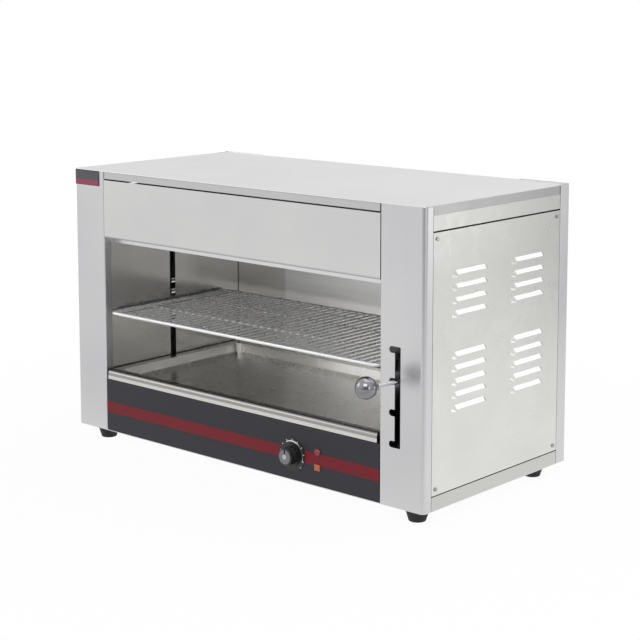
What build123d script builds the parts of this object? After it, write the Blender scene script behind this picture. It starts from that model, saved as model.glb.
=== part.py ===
from build123d import *
import os
from math import atan2, degrees, hypot

# Cheese melter: an open-fronted grill cabinet with overhead elements, a wire rack
# that lifts on a notched gate, a drip tray that slides out, and one control knob.
# Millimetres. X runs along the front to the right, Y towards the back, Z up from
# the surface it stands on. The origin is under the middle of the overall box.

os.makedirs("parts", exist_ok=True)

# ---------------------------------------------------------------- casing
casing_width = 760.0
casing_depth = 367.0
casing_height = 447.0
foot_height = 18.5
sheet = 1.2
liner_sheet = 1.0
seam_gap = 0.8
shadow_gap = 2.4
panel_foot_gap = 1.6
flange_end_gap = 2.0
tight_bend = 2.2

left_post_width = 74.0
right_post_width = 82.0
post_side_depth = 18.0
post_return_depth = 14.0
post_bend = 7.0
rear_post_side = 25.0
rear_post_back = 94.0
rear_post_rise = 1.4
rear_screw_heights = (0.08, 0.36, 0.64, 0.92)
rear_screw_inset = 12.0
lid_flange = 13.0
lid_edge = 0.9

upper_rail_height = 23.5
lower_rail_height = 21.5
clip_length = 28.0
clip_height = 16.0
clip_overlap = 18.0

header_height = 100.0
header_return = 20.0
header_lip = 10.0

fascia_height = 90.0
fascia_return = 13.0
stripe_low = 33.0
stripe_high = 52.0
print_film = 0.25

badge_width = 63.0
badge_height = 25.5
badge_thickness = 0.8

# ---------------------------------------------------------------- louvred side panels
hood_length = 87.0
hood_height = 10.0
hood_reach = 4.5
hood_taper = 51.0
vent_height = 7.0
louvre_columns = (63.5, 212.0)
lower_louvre_start = 138.5
lower_louvres = 5
upper_louvre_start = 279.0
upper_louvres = 4
louvre_pitch = 19.8
panel_screw_inset = 9.0
screw_head_diameter = 6.0
screw_head_height = 1.6
screw_diameter = 3.0
screw_length = 7.0
hole_clearance = 0.2
hex_sides = 6

# ---------------------------------------------------------------- cavity
cavity_depth = 322.0
cavity_floor = 88.0
roof_drop = 95.0
wall_slot_front = 150.0
wall_slot_width = 13.0
wall_slot_low = 92.0
wall_slot_high = 300.0

element_diameter = 8.0
element_drop = 13.0
element_leg_gap = 46.0
element_pitch = 96.0
element_first = 44.0
element_count = 3
element_left_reach = 64.0
element_tail = 22.0
element_bend_share = 0.98
bush_diameter = 13.0
bush_length = 9.0
bush_flange = 2.5

# ---------------------------------------------------------------- rack and its lift
rack_height = 205.0
rack_side_gap = 5.0
rack_front = 2.0
rack_bar_diameter = 6.0
rack_corner = 12.0
rack_bar_setbacks = (93.0, 187.0, 243.0)
rack_bar_thickness = 3.4
rack_depth = 283.0
wire_diameter = 3.2
wire_count = 36
wire_rise = 1.2
weld_sink = 0.9

slide_gap = 0.3
rail_seat = 14.0
rail_upstand = 10.0
rail_front = 24.0
rail_length = 254.0
arm_height = 10.0
arm_width = 10.0
arm_drop = 1.5
arm_plate_length = 40.0
arm_plate_height = 14.5
wall_gap = 1.0

guide_inset = 38.0
guide_diameter = 12.0
guide_length = 300.0
guide_gap = 0.15
press_gap = 0.05
guide_bracket_width = 26.0
block_width = 26.0
block_depth = 30.0
block_height = 40.0
lift_bar_width = 8.0
lift_bar_height = 16.0
lift_bar_setback = 340.0

# ---------------------------------------------------------------- lever and gate
gate_channel_inset = 54.0
gate_channel_width = 10.6
gate_low = 89.5
gate_notch_height = 10.0
gate_notch_reach = 10.5
gate_notch_pitch = 46.8
gate_notches = 4
gate_corner = 1.5
lever_height = 188.5
lever_crossing_inset = 50.2
lever_pivot_setback = 70.0
lever_rod_diameter = 6.0
lever_reach = 57.0
ball_diameter = 33.0
ball_neck_diameter = 12.0
ball_neck_length = 3.0
rod_grip = 10.0
lever_boss_diameter = 16.0
lever_boss_height = 12.0
pin_diameter = 6.0
pin_gap = 0.1
pin_head = 2.0
pin_head_diameter = 9.6
fork_plate = 3.0
fork_width = 20.0

# ---------------------------------------------------------------- drip tray
tray_rim_height = 106.4
tray_side_gap = 5.0
tray_floor_height = 91.0
tray_depth = 314.0
tray_rim_width = 15.0
tray_sheet = 1.0
tray_draft = 12.0
tray_corner = 14.0
tray_lip_bend = 6.0
tray_lip_clearance = 0.6
runner_width = 34.0
runner_drop = 20.0

# ---------------------------------------------------------------- controls
knob_inset = 255.0
knob_height = 40.5
dial_diameter = 52.0
dial_thickness = 0.9
knob_skirt_diameter = 34.0
knob_skirt_height = 3.0
knob_grip_diameter = 28.5
knob_tip_diameter = 27.0
knob_length = 17.0
knob_edge = 2.0
knob_flutes = 16
flute_diameter = 3.4
flute_setback = 0.85
cap_diameter = 8.0
cap_thickness = 0.8
pointer_width = 1.8
spindle_diameter = 6.0
spindle_gap = 0.1
regulator_size = 44.0
regulator_depth = 30.0
regulator_neck_diameter = 10.0
tab_width = 6.3
tab_thickness = 0.8
tab_length = 8.0
tab_columns = 3
tab_rows = 2
tab_pitch = (11.0, 22.0)
lamp_inset = 203.5
lamp_width = 11.4
amber_lamp_height = 30.0
amber_lamp_tall = 10.0
red_lamp_height = 54.0
red_lamp_tall = 11.0
lens_proud = 2.4
lens_bevel = 1.0
red_lens_corner = 3.6
lamp_body_inset = 1.4
lamp_body_depth = 24.0

# ---------------------------------------------------------------- supply side
terminal_length = 46.0
terminal_width = 24.0
terminal_height = 20.0
terminal_columns = 2
terminal_rows = 4
terminal_pitch = (12.0, 9.2)
terminal_setback = 105.0
gland_thread_diameter = 16.0
gland_nut_across = 22.0
gland_nut_thickness = 5.0
gland_dome_length = 11.0
gland_bore_diameter = 9.0
gland_height = 46.0
gland_side_gap = 24.0
gland_dome_rise = 2.5

# ---------------------------------------------------------------- feet
foot_top_diameter = 37.0
foot_bottom_diameter = 25.5
foot_edge = 1.6
foot_side_inset = 28.0
left_foot_inset = 53.0
foot_front_inset = 22.0
foot_rear_inset = 50.0
foot_recess_diameter = 12.0
foot_recess_depth = 4.0
foot_screw_diameter = 5.0
foot_screw_head = 9.0
foot_nut_height = 4.0
foot_nut_across = 8.0

# ---------------------------------------------------------------- places worked out from the above
on_face = (Align.CENTER, Align.CENTER, Align.MIN)
under_face = (Align.CENTER, Align.CENTER, Align.MAX)
ball_proud = lever_reach + ball_diameter / 2
gland_proud = gland_nut_thickness + gland_dome_length - sheet
left_x = -casing_width / 2
right_x = casing_width / 2
front_y = (ball_proud - casing_depth - gland_proud) / 2
rear_y = front_y + casing_depth
base_z = foot_height
top_z = base_z + casing_height
wall_low_z = base_z + sheet
wall_high_z = top_z - sheet

opening_left = left_x + left_post_width
opening_right = right_x - right_post_width
opening_width = opening_right - opening_left
opening_middle = (opening_left + opening_right) / 2

rear_post_front_y = rear_y - rear_post_side
panel_front_y = front_y + post_side_depth + seam_gap
panel_rear_y = rear_post_front_y - seam_gap
panel_low_z = base_z + lower_rail_height + panel_foot_gap
upper_rail_z = top_z - lid_flange - upper_rail_height
panel_high_z = upper_rail_z - shadow_gap

header_top_z = top_z - lid_flange - shadow_gap
header_low_z = top_z - lid_flange - header_height
fascia_top_z = base_z + fascia_height
cavity_rear_y = front_y + cavity_depth
liner_front_y = front_y + post_return_depth + seam_gap / 2
liner_low_z = base_z + cavity_floor
liner_high_z = top_z - roof_drop
back_panel_y = rear_y - 2 * sheet

slot_middle_y = front_y + wall_slot_front + wall_slot_width / 2
guide_x = right_x - guide_inset

rack_z = base_z + rack_height
rack_bar_radius = rack_bar_diameter / 2
rack_left = opening_left + rack_side_gap
rack_right = opening_right - rack_side_gap
rail_top_z = rack_z - rack_bar_radius - slide_gap
arm_high_z = rail_top_z - arm_drop
arm_middle_z = arm_high_z - arm_height / 2

foot_places = [
    (left_x + left_foot_inset, front_y + foot_front_inset),
    (right_x - foot_side_inset, front_y + foot_front_inset),
    (left_x + left_foot_inset, rear_y - foot_rear_inset),
    (right_x - foot_side_inset, rear_y - foot_rear_inset),
]

lever_z = base_z + lever_height
pivot_y = front_y + lever_pivot_setback
lever_lean = guide_x - (right_x - lever_crossing_inset)
ball_centre = Vector(
    guide_x - (lever_pivot_setback + lever_reach) * lever_lean / lever_pivot_setback,
    front_y - lever_reach,
    lever_z,
)
lever_run = hypot(ball_centre.X - guide_x, ball_centre.Y - pivot_y)

tray_left = opening_left + tray_side_gap
tray_right = opening_right - tray_side_gap
tray_width = tray_right - tray_left
tray_rim_z = base_z + tray_rim_height
tray_floor_z = base_z + tray_floor_height
runner_z = tray_floor_z - slide_gap

knob_x = right_x - knob_inset
knob_z = base_z + knob_height
lamp_x = right_x - lamp_inset
amber_z = base_z + amber_lamp_height
red_z = base_z + red_lamp_height


def keep(piece, name):
    """Label a finished piece and write it as its own file."""
    piece.part.label = name
    export_step(piece.part, "parts/" + name + ".step")


def folded_sheet(plane, corners, radii, thickness, length):
    """A folded sheet: its outer line in a plane, its stock on the line's left."""
    with BuildPart() as fold:
        with BuildSketch(plane):
            with BuildLine():
                outline = FilletPolyline(*corners, radius=radii)
                offset(outline, amount=thickness, side=Side.LEFT)
            make_face()
        extrude(amount=length)
    return fold.part


def slab(x_range, y_range, z_range, mode=Mode.ADD):
    """A rectangular piece between two places on each axis."""
    ranges = (x_range, y_range, z_range)
    size = [high - low for low, high in ranges]
    middle = tuple((high + low) / 2 for low, high in ranges)
    with Locations(middle):
        Box(*size, mode=mode)


# ================================================================ base and lid
with BuildPart() as base_pan:
    with BuildSketch(Plane.XY.offset(base_z)) as base_outline:
        with Locations((0, front_y + casing_depth / 2)):
            Rectangle(casing_width, casing_depth)
        fillet(base_outline.vertices().group_by(Axis.Y)[0], radius=post_bend)
    extrude(amount=sheet)
    with Locations(*[(x, y, base_z + sheet) for x, y in foot_places]):
        Hole(radius=foot_screw_diameter / 2 + hole_clearance, depth=sheet)
keep(base_pan, "base_pan")

with BuildPart() as lid:
    with BuildSketch(Plane.XY.offset(wall_high_z)) as lid_outline:
        with Locations((0, front_y + casing_depth / 2)):
            Rectangle(casing_width, casing_depth)
        fillet(lid_outline.vertices().group_by(Axis.Y)[0], radius=post_bend)
    extrude(amount=sheet)
    flange_z = (top_z - lid_flange, wall_high_z)
    front_flange_x = (opening_left + flange_end_gap, opening_right - seam_gap)
    slab(front_flange_x, (front_y, front_y + sheet), flange_z)
    side_flange_y = (panel_front_y, rear_post_front_y - shadow_gap)
    slab((left_x, left_x + sheet), side_flange_y, flange_z)
    slab((right_x - sheet, right_x), side_flange_y, flange_z)
    rear_flange_x = right_x - rear_post_back - seam_gap
    slab((-rear_flange_x, rear_flange_x), (rear_y - sheet, rear_y), flange_z)
    # the rear posts stand up through the lid's two back corners
    notch_z = (wall_high_z, top_z)
    notch_y = rear_post_front_y - seam_gap
    for outer, inner in ((left_x, 1), (right_x, -1)):
        side_cut = sorted((outer, outer + inner * (sheet + tight_bend)))
        back_cut = sorted((outer, outer + inner * (rear_post_back + seam_gap)))
        slab(side_cut, (notch_y, rear_y), notch_z, mode=Mode.SUBTRACT)
        slab(back_cut, (rear_y - sheet - hole_clearance, rear_y), notch_z, mode=Mode.SUBTRACT)
    front_edges = lid.edges().filter_by(Axis.X).group_by(Axis.Z)[-1].sort_by(Axis.Y)[0]
    fillet(front_edges, radius=lid_edge)
keep(lid, "lid")

# ================================================================ posts
post_height = wall_high_z - wall_low_z
post_radii = [post_bend, tight_bend]

with BuildPart() as front_post_left:
    corners = (
        (left_x, front_y + post_side_depth),
        (left_x, front_y),
        (opening_left, front_y),
        (opening_left, front_y + post_return_depth),
    )
    add(folded_sheet(Plane.XY.offset(wall_low_z), corners, post_radii, sheet, post_height))
keep(front_post_left, "front_post_left")

with BuildPart() as front_post_right:
    corners = (
        (opening_right, front_y + post_return_depth),
        (opening_right, front_y),
        (right_x, front_y),
        (right_x, front_y + post_side_depth),
    )
    radii = list(reversed(post_radii))
    add(folded_sheet(Plane.XY.offset(wall_low_z), corners, radii, sheet, post_height))
    # the gate: an upright channel with a notch to the left for each rack height
    gate_x = right_x - gate_channel_inset
    gate_height = (gate_notches - 1) * gate_notch_pitch + gate_notch_height
    gate_middle = (gate_x + gate_channel_width / 2, base_z + gate_low + gate_height / 2)
    notch_run = gate_notch_reach + gate_channel_width
    notch_x = gate_x + gate_channel_width - notch_run / 2
    with BuildSketch(Plane.XZ.offset(-front_y)):
        with Locations(gate_middle):
            RectangleRounded(gate_channel_width, gate_height, gate_corner)
        with Locations(gate_middle):
            with GridLocations(0, gate_notch_pitch, 1, gate_notches):
                with Locations((notch_x - gate_middle[0], 0)):
                    SlotOverall(notch_run, gate_notch_height)
    extrude(amount=2 * sheet, both=True, mode=Mode.SUBTRACT)
keep(front_post_right, "front_post_right")

rear_post_height = top_z + rear_post_rise - wall_low_z
rear_screw_z = [base_z + share * casing_height for share in rear_screw_heights]
rear_screw_x = right_x - rear_post_back + rear_screw_inset
rear_screw_places = [(side * rear_screw_x, z) for side in (-1, 1) for z in rear_screw_z]

with BuildPart() as rear_post_right:
    corners = (
        (right_x, rear_post_front_y),
        (right_x, rear_y),
        (right_x - rear_post_back, rear_y),
    )
    add(folded_sheet(Plane.XY.offset(wall_low_z), corners, [tight_bend], sheet, rear_post_height))
    side_top_y = (rear_post_front_y, rear_y - tight_bend)
    side_top_z = (top_z, top_z + rear_post_rise)
    slab((right_x - sheet, right_x), side_top_y, side_top_z, mode=Mode.SUBTRACT)
    with Locations(*[
        Plane((rear_screw_x, rear_y, z), x_dir=(1, 0, 0), z_dir=(0, 1, 0)).location
        for z in rear_screw_z
    ]):
        Hole(radius=screw_diameter / 2 + hole_clearance, depth=sheet)
keep(rear_post_right, "rear_post_right")

with BuildPart() as rear_post_left:
    mirror(rear_post_right.part, about=Plane.YZ)
keep(rear_post_left, "rear_post_left")

# ================================================================ back panel
gland_x = right_x - rear_post_back - gland_side_gap
gland_z = base_z + gland_height
back_outer_y = back_panel_y + sheet
back_facing = [
    Plane((x, back_outer_y, z), x_dir=(1, 0, 0), z_dir=(0, 1, 0)).location
    for x, z in rear_screw_places
]

with BuildPart() as back_panel:
    back_half = right_x - sheet - tight_bend
    slab((-back_half, back_half), (back_panel_y, back_outer_y), (wall_low_z, wall_high_z))
    with Locations(*back_facing):
        Hole(radius=screw_diameter / 2 + hole_clearance, depth=sheet)
    with Locations(Plane((gland_x, back_outer_y, gland_z), z_dir=(0, 1, 0)).location):
        Hole(radius=gland_thread_diameter / 2 + hole_clearance, depth=sheet)
keep(back_panel, "back_panel")


def pan_head_screws(places):
    """Small pan-headed screws, each at a location whose Z points out of the face."""
    with BuildPart() as screws:
        with Locations(*places):
            Cylinder(screw_head_diameter / 2, screw_head_height, align=on_face)
            Cylinder(screw_diameter / 2, screw_length, align=under_face)
    return screws


on_rear_post = [
    Plane((x, rear_y, z), x_dir=(1, 0, 0), z_dir=(0, 1, 0)).location
    for x, z in rear_screw_places
]
keep(pan_head_screws(on_rear_post), "back_panel_screws")

# ================================================================ side rails and louvred panels
panel_screw_places = [
    (y, z)
    for y in (panel_front_y + panel_screw_inset, panel_rear_y - panel_screw_inset)
    for z in (panel_low_z + panel_screw_inset, panel_high_z - panel_screw_inset)
]
on_right_side = [
    Plane((right_x, y, z), x_dir=(0, 1, 0), z_dir=(1, 0, 0)).location
    for y, z in panel_screw_places
]
rail_y = (panel_front_y, panel_rear_y)

with BuildPart() as lower_rail_right:
    slab((right_x - sheet, right_x), rail_y, (wall_low_z, base_z + lower_rail_height))
keep(lower_rail_right, "lower_rail_right")

with BuildPart() as upper_rail_right:
    slab((right_x - sheet, right_x), rail_y, (upper_rail_z, top_z - lid_flange - seam_gap))
    slab((right_x - 2 * sheet, right_x - sheet), rail_y, (upper_rail_z, wall_high_z))
keep(upper_rail_right, "upper_rail_right")

# each panel screw goes into a clip that reaches behind the panel from its post
clip_x = (right_x - 2 * sheet, right_x - sheet)
with BuildPart() as panel_clips:
    for y, z in panel_screw_places:
        if y < 0:
            clip_y = (panel_front_y + clip_overlap - clip_length, panel_front_y + clip_overlap)
        else:
            clip_y = (panel_rear_y - clip_overlap, panel_rear_y - clip_overlap + clip_length)
        slab(clip_x, clip_y, (z - clip_height / 2, z + clip_height / 2))
    with Locations(*on_right_side):
        Hole(radius=screw_diameter / 2 + hole_clearance, depth=2 * sheet)
    mirror(panel_clips.part, about=Plane.YZ)
keep(panel_clips, "panel_clips")

# each louvre is a tapered hood over a slot, closed above and at its ends, open below
louvre_rows = [lower_louvre_start + i * louvre_pitch for i in range(lower_louvres)]
louvre_rows += [upper_louvre_start + i * louvre_pitch for i in range(upper_louvres)]
louvre_places = [
    (front_y + column + hood_length / 2, base_z + row)
    for column in louvre_columns
    for row in louvre_rows
]

with BuildPart() as side_panel_right:
    slab((right_x - sheet, right_x), rail_y, (panel_low_z, panel_high_z))
    hood_inside = hood_length - 2 * liner_sheet
    with BuildPart(mode=Mode.PRIVATE) as hood:
        with BuildSketch(Plane.YZ):
            SlotOverall(hood_length, 2 * hood_height)
        extrude(amount=hood_reach, taper=hood_taper)
        with BuildSketch(Plane.YZ):
            SlotOverall(hood_inside, 2 * (hood_height - liner_sheet))
        extrude(amount=hood_reach - liner_sheet, taper=hood_taper, mode=Mode.SUBTRACT)
        split(bisect_by=Plane.XY, keep=Keep.TOP)
    with BuildSketch(Plane.YZ.offset(right_x)):
        with Locations(*[(y, z + vent_height / 2) for y, z in louvre_places]):
            Rectangle(hood_length - 2 * hood_height, vent_height)
    extrude(amount=-sheet, mode=Mode.SUBTRACT)
    with Locations(*[(right_x, y, z) for y, z in louvre_places]):
        add(hood.part)
    with Locations(*on_right_side):
        Hole(radius=screw_diameter / 2 + hole_clearance, depth=sheet)
keep(side_panel_right, "side_panel_right")

for piece, name in (
    (lower_rail_right, "lower_rail_left"),
    (upper_rail_right, "upper_rail_left"),
    (side_panel_right, "side_panel_left"),
):
    with BuildPart() as left_piece:
        mirror(piece.part, about=Plane.YZ)
    keep(left_piece, name)

on_left_side = [
    Plane((left_x, y, z), x_dir=(0, -1, 0), z_dir=(-1, 0, 0)).location
    for y, z in panel_screw_places
]
keep(pan_head_screws(on_right_side + on_left_side), "side_panel_screws")

# ================================================================ header and fascia
between_posts = (opening_left + seam_gap / 2, opening_right - seam_gap / 2)
front_run = between_posts[1] - between_posts[0]
across_front = Plane.YZ.offset(between_posts[0])

with BuildPart() as header_panel:
    corners = (
        (front_y, header_top_z),
        (front_y, header_low_z),
        (front_y + header_return, header_low_z),
        (front_y + header_return, header_low_z - header_lip),
    )
    radii = [tight_bend, tight_bend]
    add(folded_sheet(across_front, corners, radii, sheet, front_run))
keep(header_panel, "header_panel")

knob_centre = (knob_x, knob_z)
lamps = ((amber_z, amber_lamp_tall), (red_z, red_lamp_tall))
lamp_body_width = lamp_width - 2 * lamp_body_inset

with BuildPart() as control_fascia:
    corners = (
        (front_y + fascia_return, fascia_top_z),
        (front_y, fascia_top_z),
        (front_y, wall_low_z),
        (front_y + fascia_return, wall_low_z),
    )
    radii = [tight_bend, tight_bend]
    add(folded_sheet(across_front, corners, radii, sheet, front_run))
    with BuildSketch(Plane.XZ.offset(-front_y)):
        with Locations(knob_centre):
            Circle(regulator_neck_diameter / 2 + hole_clearance)
        for lamp_z, lamp_tall in lamps:
            with Locations((lamp_x, lamp_z)):
                opening_tall = lamp_tall - 2 * lamp_body_inset + 2 * hole_clearance
                Rectangle(lamp_body_width + 2 * hole_clearance, opening_tall)
    extrude(amount=-2 * sheet, mode=Mode.SUBTRACT)
keep(control_fascia, "control_fascia")

with BuildPart() as fascia_stripe:
    stripe_z = (base_z + stripe_low, base_z + stripe_high)
    slab(between_posts, (front_y - print_film, front_y), stripe_z)
    with BuildSketch(Plane.XZ.offset(-front_y)):
        with Locations(knob_centre):
            Circle(dial_diameter / 2 + hole_clearance)
        for lamp_z, lamp_tall in lamps:
            with Locations((lamp_x, lamp_z)):
                Rectangle(lamp_width + 2 * hole_clearance, lamp_tall + 2 * hole_clearance)
    extrude(amount=2 * print_film, mode=Mode.SUBTRACT)
keep(fascia_stripe, "fascia_stripe")

with BuildPart() as badge_plate:
    badge_top_z = top_z - sheet
    badge_left = left_x + post_bend / 2
    badge_x = (badge_left, left_x + badge_width)
    badge_z = (badge_top_z - badge_height, badge_top_z)
    slab(badge_x, (front_y - badge_thickness, front_y), badge_z)
keep(badge_plate, "badge_plate")

# ================================================================ knob, dial, regulator, lamps
dial_face_y = front_y - dial_thickness
fascia_back_y = front_y + sheet

with BuildPart() as dial_plate:
    with BuildSketch(Plane.XZ.offset(-front_y)):
        with Locations(knob_centre):
            Circle(dial_diameter / 2)
            Circle(regulator_neck_diameter / 2, mode=Mode.SUBTRACT)
    extrude(amount=dial_thickness)
keep(dial_plate, "dial_plate")

knob_back_y = dial_face_y - slide_gap
knob_base = Plane((knob_x, knob_back_y, knob_z), x_dir=(1, 0, 0), z_dir=(0, -1, 0))
grip_height = knob_length - knob_skirt_height

with BuildPart() as knob:
    with BuildSketch(knob_base):
        Circle(knob_skirt_diameter / 2)
    extrude(amount=knob_skirt_height)
    with BuildSketch(knob_base.offset(knob_skirt_height)):
        Circle(knob_grip_diameter / 2)
    with BuildSketch(knob_base.offset(knob_length)):
        Circle(knob_tip_diameter / 2)
    loft()
    tip_edge = knob.edges().filter_by(GeomType.CIRCLE).sort_by(Axis.Y)[0]
    fillet(tip_edge, radius=knob_edge)
    with BuildSketch(knob_base.offset(knob_skirt_height)):
        with PolarLocations(knob_grip_diameter / 2 + flute_setback, knob_flutes):
            Circle(flute_diameter / 2)
    extrude(amount=grip_height, mode=Mode.SUBTRACT)
    with BuildSketch(knob_base):
        Circle(spindle_diameter / 2 + press_gap)
    extrude(amount=knob_length - 2 * knob_skirt_height, mode=Mode.SUBTRACT)
    with BuildSketch(knob_base.offset(knob_length)):
        with Locations((0, (knob_tip_diameter + cap_diameter) / 4)):
            Rectangle(pointer_width, (knob_tip_diameter - cap_diameter) / 2)
    extrude(amount=-cap_thickness, mode=Mode.SUBTRACT)
keep(knob, "control_knob")

with BuildPart() as knob_cap:
    with BuildSketch(knob_base.offset(knob_length)):
        Circle(cap_diameter / 2)
    extrude(amount=cap_thickness)
    fillet(knob_cap.edges().sort_by(Axis.Y)[0], radius=cap_thickness / 2)
keep(knob_cap, "knob_cap")

with BuildPart() as knob_spindle:
    spindle_out = knob_length - 2 * knob_skirt_height - slide_gap
    spindle_in = slide_gap + dial_thickness + sheet + regulator_depth / 2
    with BuildSketch(knob_base.offset(spindle_out)):
        Circle(spindle_diameter / 2)
    extrude(amount=-spindle_out - spindle_in)
keep(knob_spindle, "knob_spindle")

with BuildPart() as regulator:
    half = regulator_size / 2
    body_y = (fascia_back_y, fascia_back_y + regulator_depth)
    slab((knob_x - half, knob_x + half), body_y, (knob_z - half, knob_z + half))
    fillet(regulator.edges().filter_by(Axis.Y), radius=tight_bend)
    with BuildSketch(Plane.XZ.offset(-fascia_back_y)):
        with Locations(knob_centre):
            Circle(regulator_neck_diameter / 2)
    extrude(amount=sheet)
    with BuildSketch(Plane.XZ.offset(-front_y)):
        with Locations(knob_centre):
            Circle(spindle_diameter / 2 + spindle_gap)
    extrude(amount=-(sheet + regulator_depth / 2 + slide_gap), mode=Mode.SUBTRACT)
    # a row of push-on terminals on the back of the regulator
    with BuildSketch(Plane.XZ.offset(-body_y[1])):
        with Locations(knob_centre):
            with GridLocations(*tab_pitch, tab_columns, tab_rows):
                Rectangle(tab_width, tab_thickness)
    extrude(amount=-tab_length)
keep(regulator, "regulator")


def pilot_lens(lamp_z, lamp_tall, corner=0.0):
    """A lens with bevelled edges, standing proud of the fascia, its top corners cut if asked."""
    with BuildPart() as lens:
        with BuildSketch(Plane.XZ.offset(-front_y)) as face:
            with Locations((lamp_x, lamp_z)):
                Rectangle(lamp_width, lamp_tall)
            if corner:
                chamfer(face.vertices().group_by(Axis.Z)[-1], length=corner)
        extrude(amount=lens_proud)
        chamfer(lens.faces().sort_by(Axis.Y)[0].edges(), length=lens_bevel)
    return lens


keep(pilot_lens(*lamps[0]), "lamp_lens_amber")
keep(pilot_lens(*lamps[1], red_lens_corner), "lamp_lens_red")

with BuildPart() as lamp_bodies:
    for lamp_z, lamp_tall in lamps:
        with BuildSketch(Plane.XZ.offset(-front_y)):
            with Locations((lamp_x, lamp_z)):
                Rectangle(lamp_body_width, lamp_tall - 2 * lamp_body_inset)
        extrude(amount=-lamp_body_depth)
keep(lamp_bodies, "lamp_bodies")

# ================================================================ cavity walls
side_wall_y = (liner_front_y, cavity_rear_y + liner_sheet)
wall_z = (liner_low_z, liner_high_z)
slot_y = (front_y + wall_slot_front, front_y + wall_slot_front + wall_slot_width)
slot_z = (base_z + wall_slot_low, base_z + wall_slot_high)
element_z = liner_high_z - element_drop
element_legs = [
    front_y + element_first + i * element_pitch + leg * element_leg_gap
    for i in range(element_count)
    for leg in (0, 1)
]

with BuildPart() as liner_left:
    wall_x = (opening_left - liner_sheet, opening_left)
    slab(wall_x, side_wall_y, wall_z)
    slab(wall_x, slot_y, slot_z, mode=Mode.SUBTRACT)
keep(liner_left, "liner_left")

with BuildPart() as liner_right:
    wall_x = (opening_right, opening_right + liner_sheet)
    slab(wall_x, side_wall_y, wall_z)
    slab(wall_x, slot_y, slot_z, mode=Mode.SUBTRACT)
    with BuildSketch(Plane.YZ.offset(opening_right)):
        with Locations(*[(y, element_z) for y in element_legs]):
            Circle(bush_diameter / 2 + hole_clearance)
    extrude(amount=liner_sheet, mode=Mode.SUBTRACT)
keep(liner_right, "liner_right")

with BuildPart() as liner_back:
    slab((opening_left, opening_right), (cavity_rear_y, cavity_rear_y + liner_sheet), wall_z)
keep(liner_back, "liner_back")

reflector_front_y = front_y + header_return + sheet + hole_clearance

with BuildPart() as reflector:
    corners = (
        (cavity_rear_y + liner_sheet, liner_high_z + liner_sheet),
        (reflector_front_y, liner_high_z + liner_sheet),
        (reflector_front_y, header_low_z - header_lip / 2),
    )
    reflector_plane = Plane.YZ.offset(opening_left + seam_gap / 2)
    run = opening_width - seam_gap
    add(folded_sheet(reflector_plane, corners, [tight_bend], liner_sheet, run))
keep(reflector, "reflector")

with BuildPart() as runner_left:
    corners = (
        (opening_left, runner_z - runner_drop),
        (opening_left, runner_z),
        (opening_left + runner_width, runner_z),
    )
    runner_plane = Plane.XZ.offset(-cavity_rear_y)
    run = cavity_rear_y - liner_front_y - fascia_return
    runner_corners = tuple(reversed(corners))
    add(folded_sheet(runner_plane, runner_corners, [tight_bend], sheet, run))
keep(runner_left, "tray_runner_left")

middle_plane = Plane.YZ.offset(opening_middle)
with BuildPart() as runner_right:
    mirror(runner_left.part, about=middle_plane)
keep(runner_right, "tray_runner_right")

# ================================================================ heating elements
element_left = opening_left + element_left_reach
element_right = opening_right + liner_sheet + element_tail
leg_bend = element_leg_gap / 2

with BuildPart() as elements:
    for first_leg in element_legs[::2]:
        second_leg = first_leg + element_leg_gap
        with BuildLine():
            element_path = FilletPolyline(
                (element_right, first_leg, element_z),
                (element_left, first_leg, element_z),
                (element_left, second_leg, element_z),
                (element_right, second_leg, element_z),
                radius=leg_bend * element_bend_share,
            )
        with BuildSketch(Plane(element_path @ 0, z_dir=element_path % 0)):
            Circle(element_diameter / 2)
        sweep(path=element_path)
keep(elements, "heating_elements")

bush_seats = Plane.YZ.offset(opening_right + liner_sheet)
with BuildPart() as bushes:
    leg_points = [(y, element_z) for y in element_legs]
    with BuildSketch(bush_seats):
        with Locations(*leg_points):
            Circle(bush_diameter / 2 + bush_flange)
    extrude(amount=bush_flange)
    with BuildSketch(bush_seats.offset(bush_flange)):
        with Locations(*leg_points):
            Circle(bush_diameter / 2)
    extrude(amount=-bush_length)
    with BuildSketch(bush_seats.offset(bush_flange)):
        with Locations(*leg_points):
            Circle(element_diameter / 2 + pin_gap)
    extrude(amount=-bush_length, mode=Mode.SUBTRACT)
keep(bushes, "element_bushes")

with BuildPart() as hanger:
    hanger_x = element_left + element_left_reach
    hanger_y = (element_legs[0] - bush_diameter, element_legs[-1] + bush_diameter)
    hanger_z = (element_z - bush_diameter / 2, liner_high_z)
    slab((hanger_x, hanger_x + sheet), hanger_y, hanger_z)
    with BuildSketch(Plane.YZ.offset(hanger_x)):
        with Locations(*leg_points):
            Circle(element_diameter / 2 + pin_gap)
    extrude(amount=sheet, mode=Mode.SUBTRACT)
keep(hanger, "element_hanger")

# ================================================================ rack lift
guide_places = [(side * guide_x, slot_middle_y) for side in (-1, 1)]
guide_top_z = wall_low_z + guide_length

with BuildPart() as guide_rods:
    with BuildSketch(Plane.XY.offset(wall_low_z)):
        with Locations(*guide_places):
            Circle(guide_diameter / 2)
    extrude(amount=guide_length)
keep(guide_rods, "guide_rods")

with BuildPart() as guide_brackets:
    bracket_y = (slot_middle_y - guide_bracket_width / 2, slot_middle_y + guide_bracket_width / 2)
    bracket_z = (guide_top_z, guide_top_z + fork_plate)
    bracket_edge = guide_x + guide_bracket_width / 2
    slab((-bracket_edge, opening_left - liner_sheet), bracket_y, bracket_z)
    slab((opening_right + liner_sheet, bracket_edge), bracket_y, bracket_z)
keep(guide_brackets, "guide_brackets")

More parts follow.
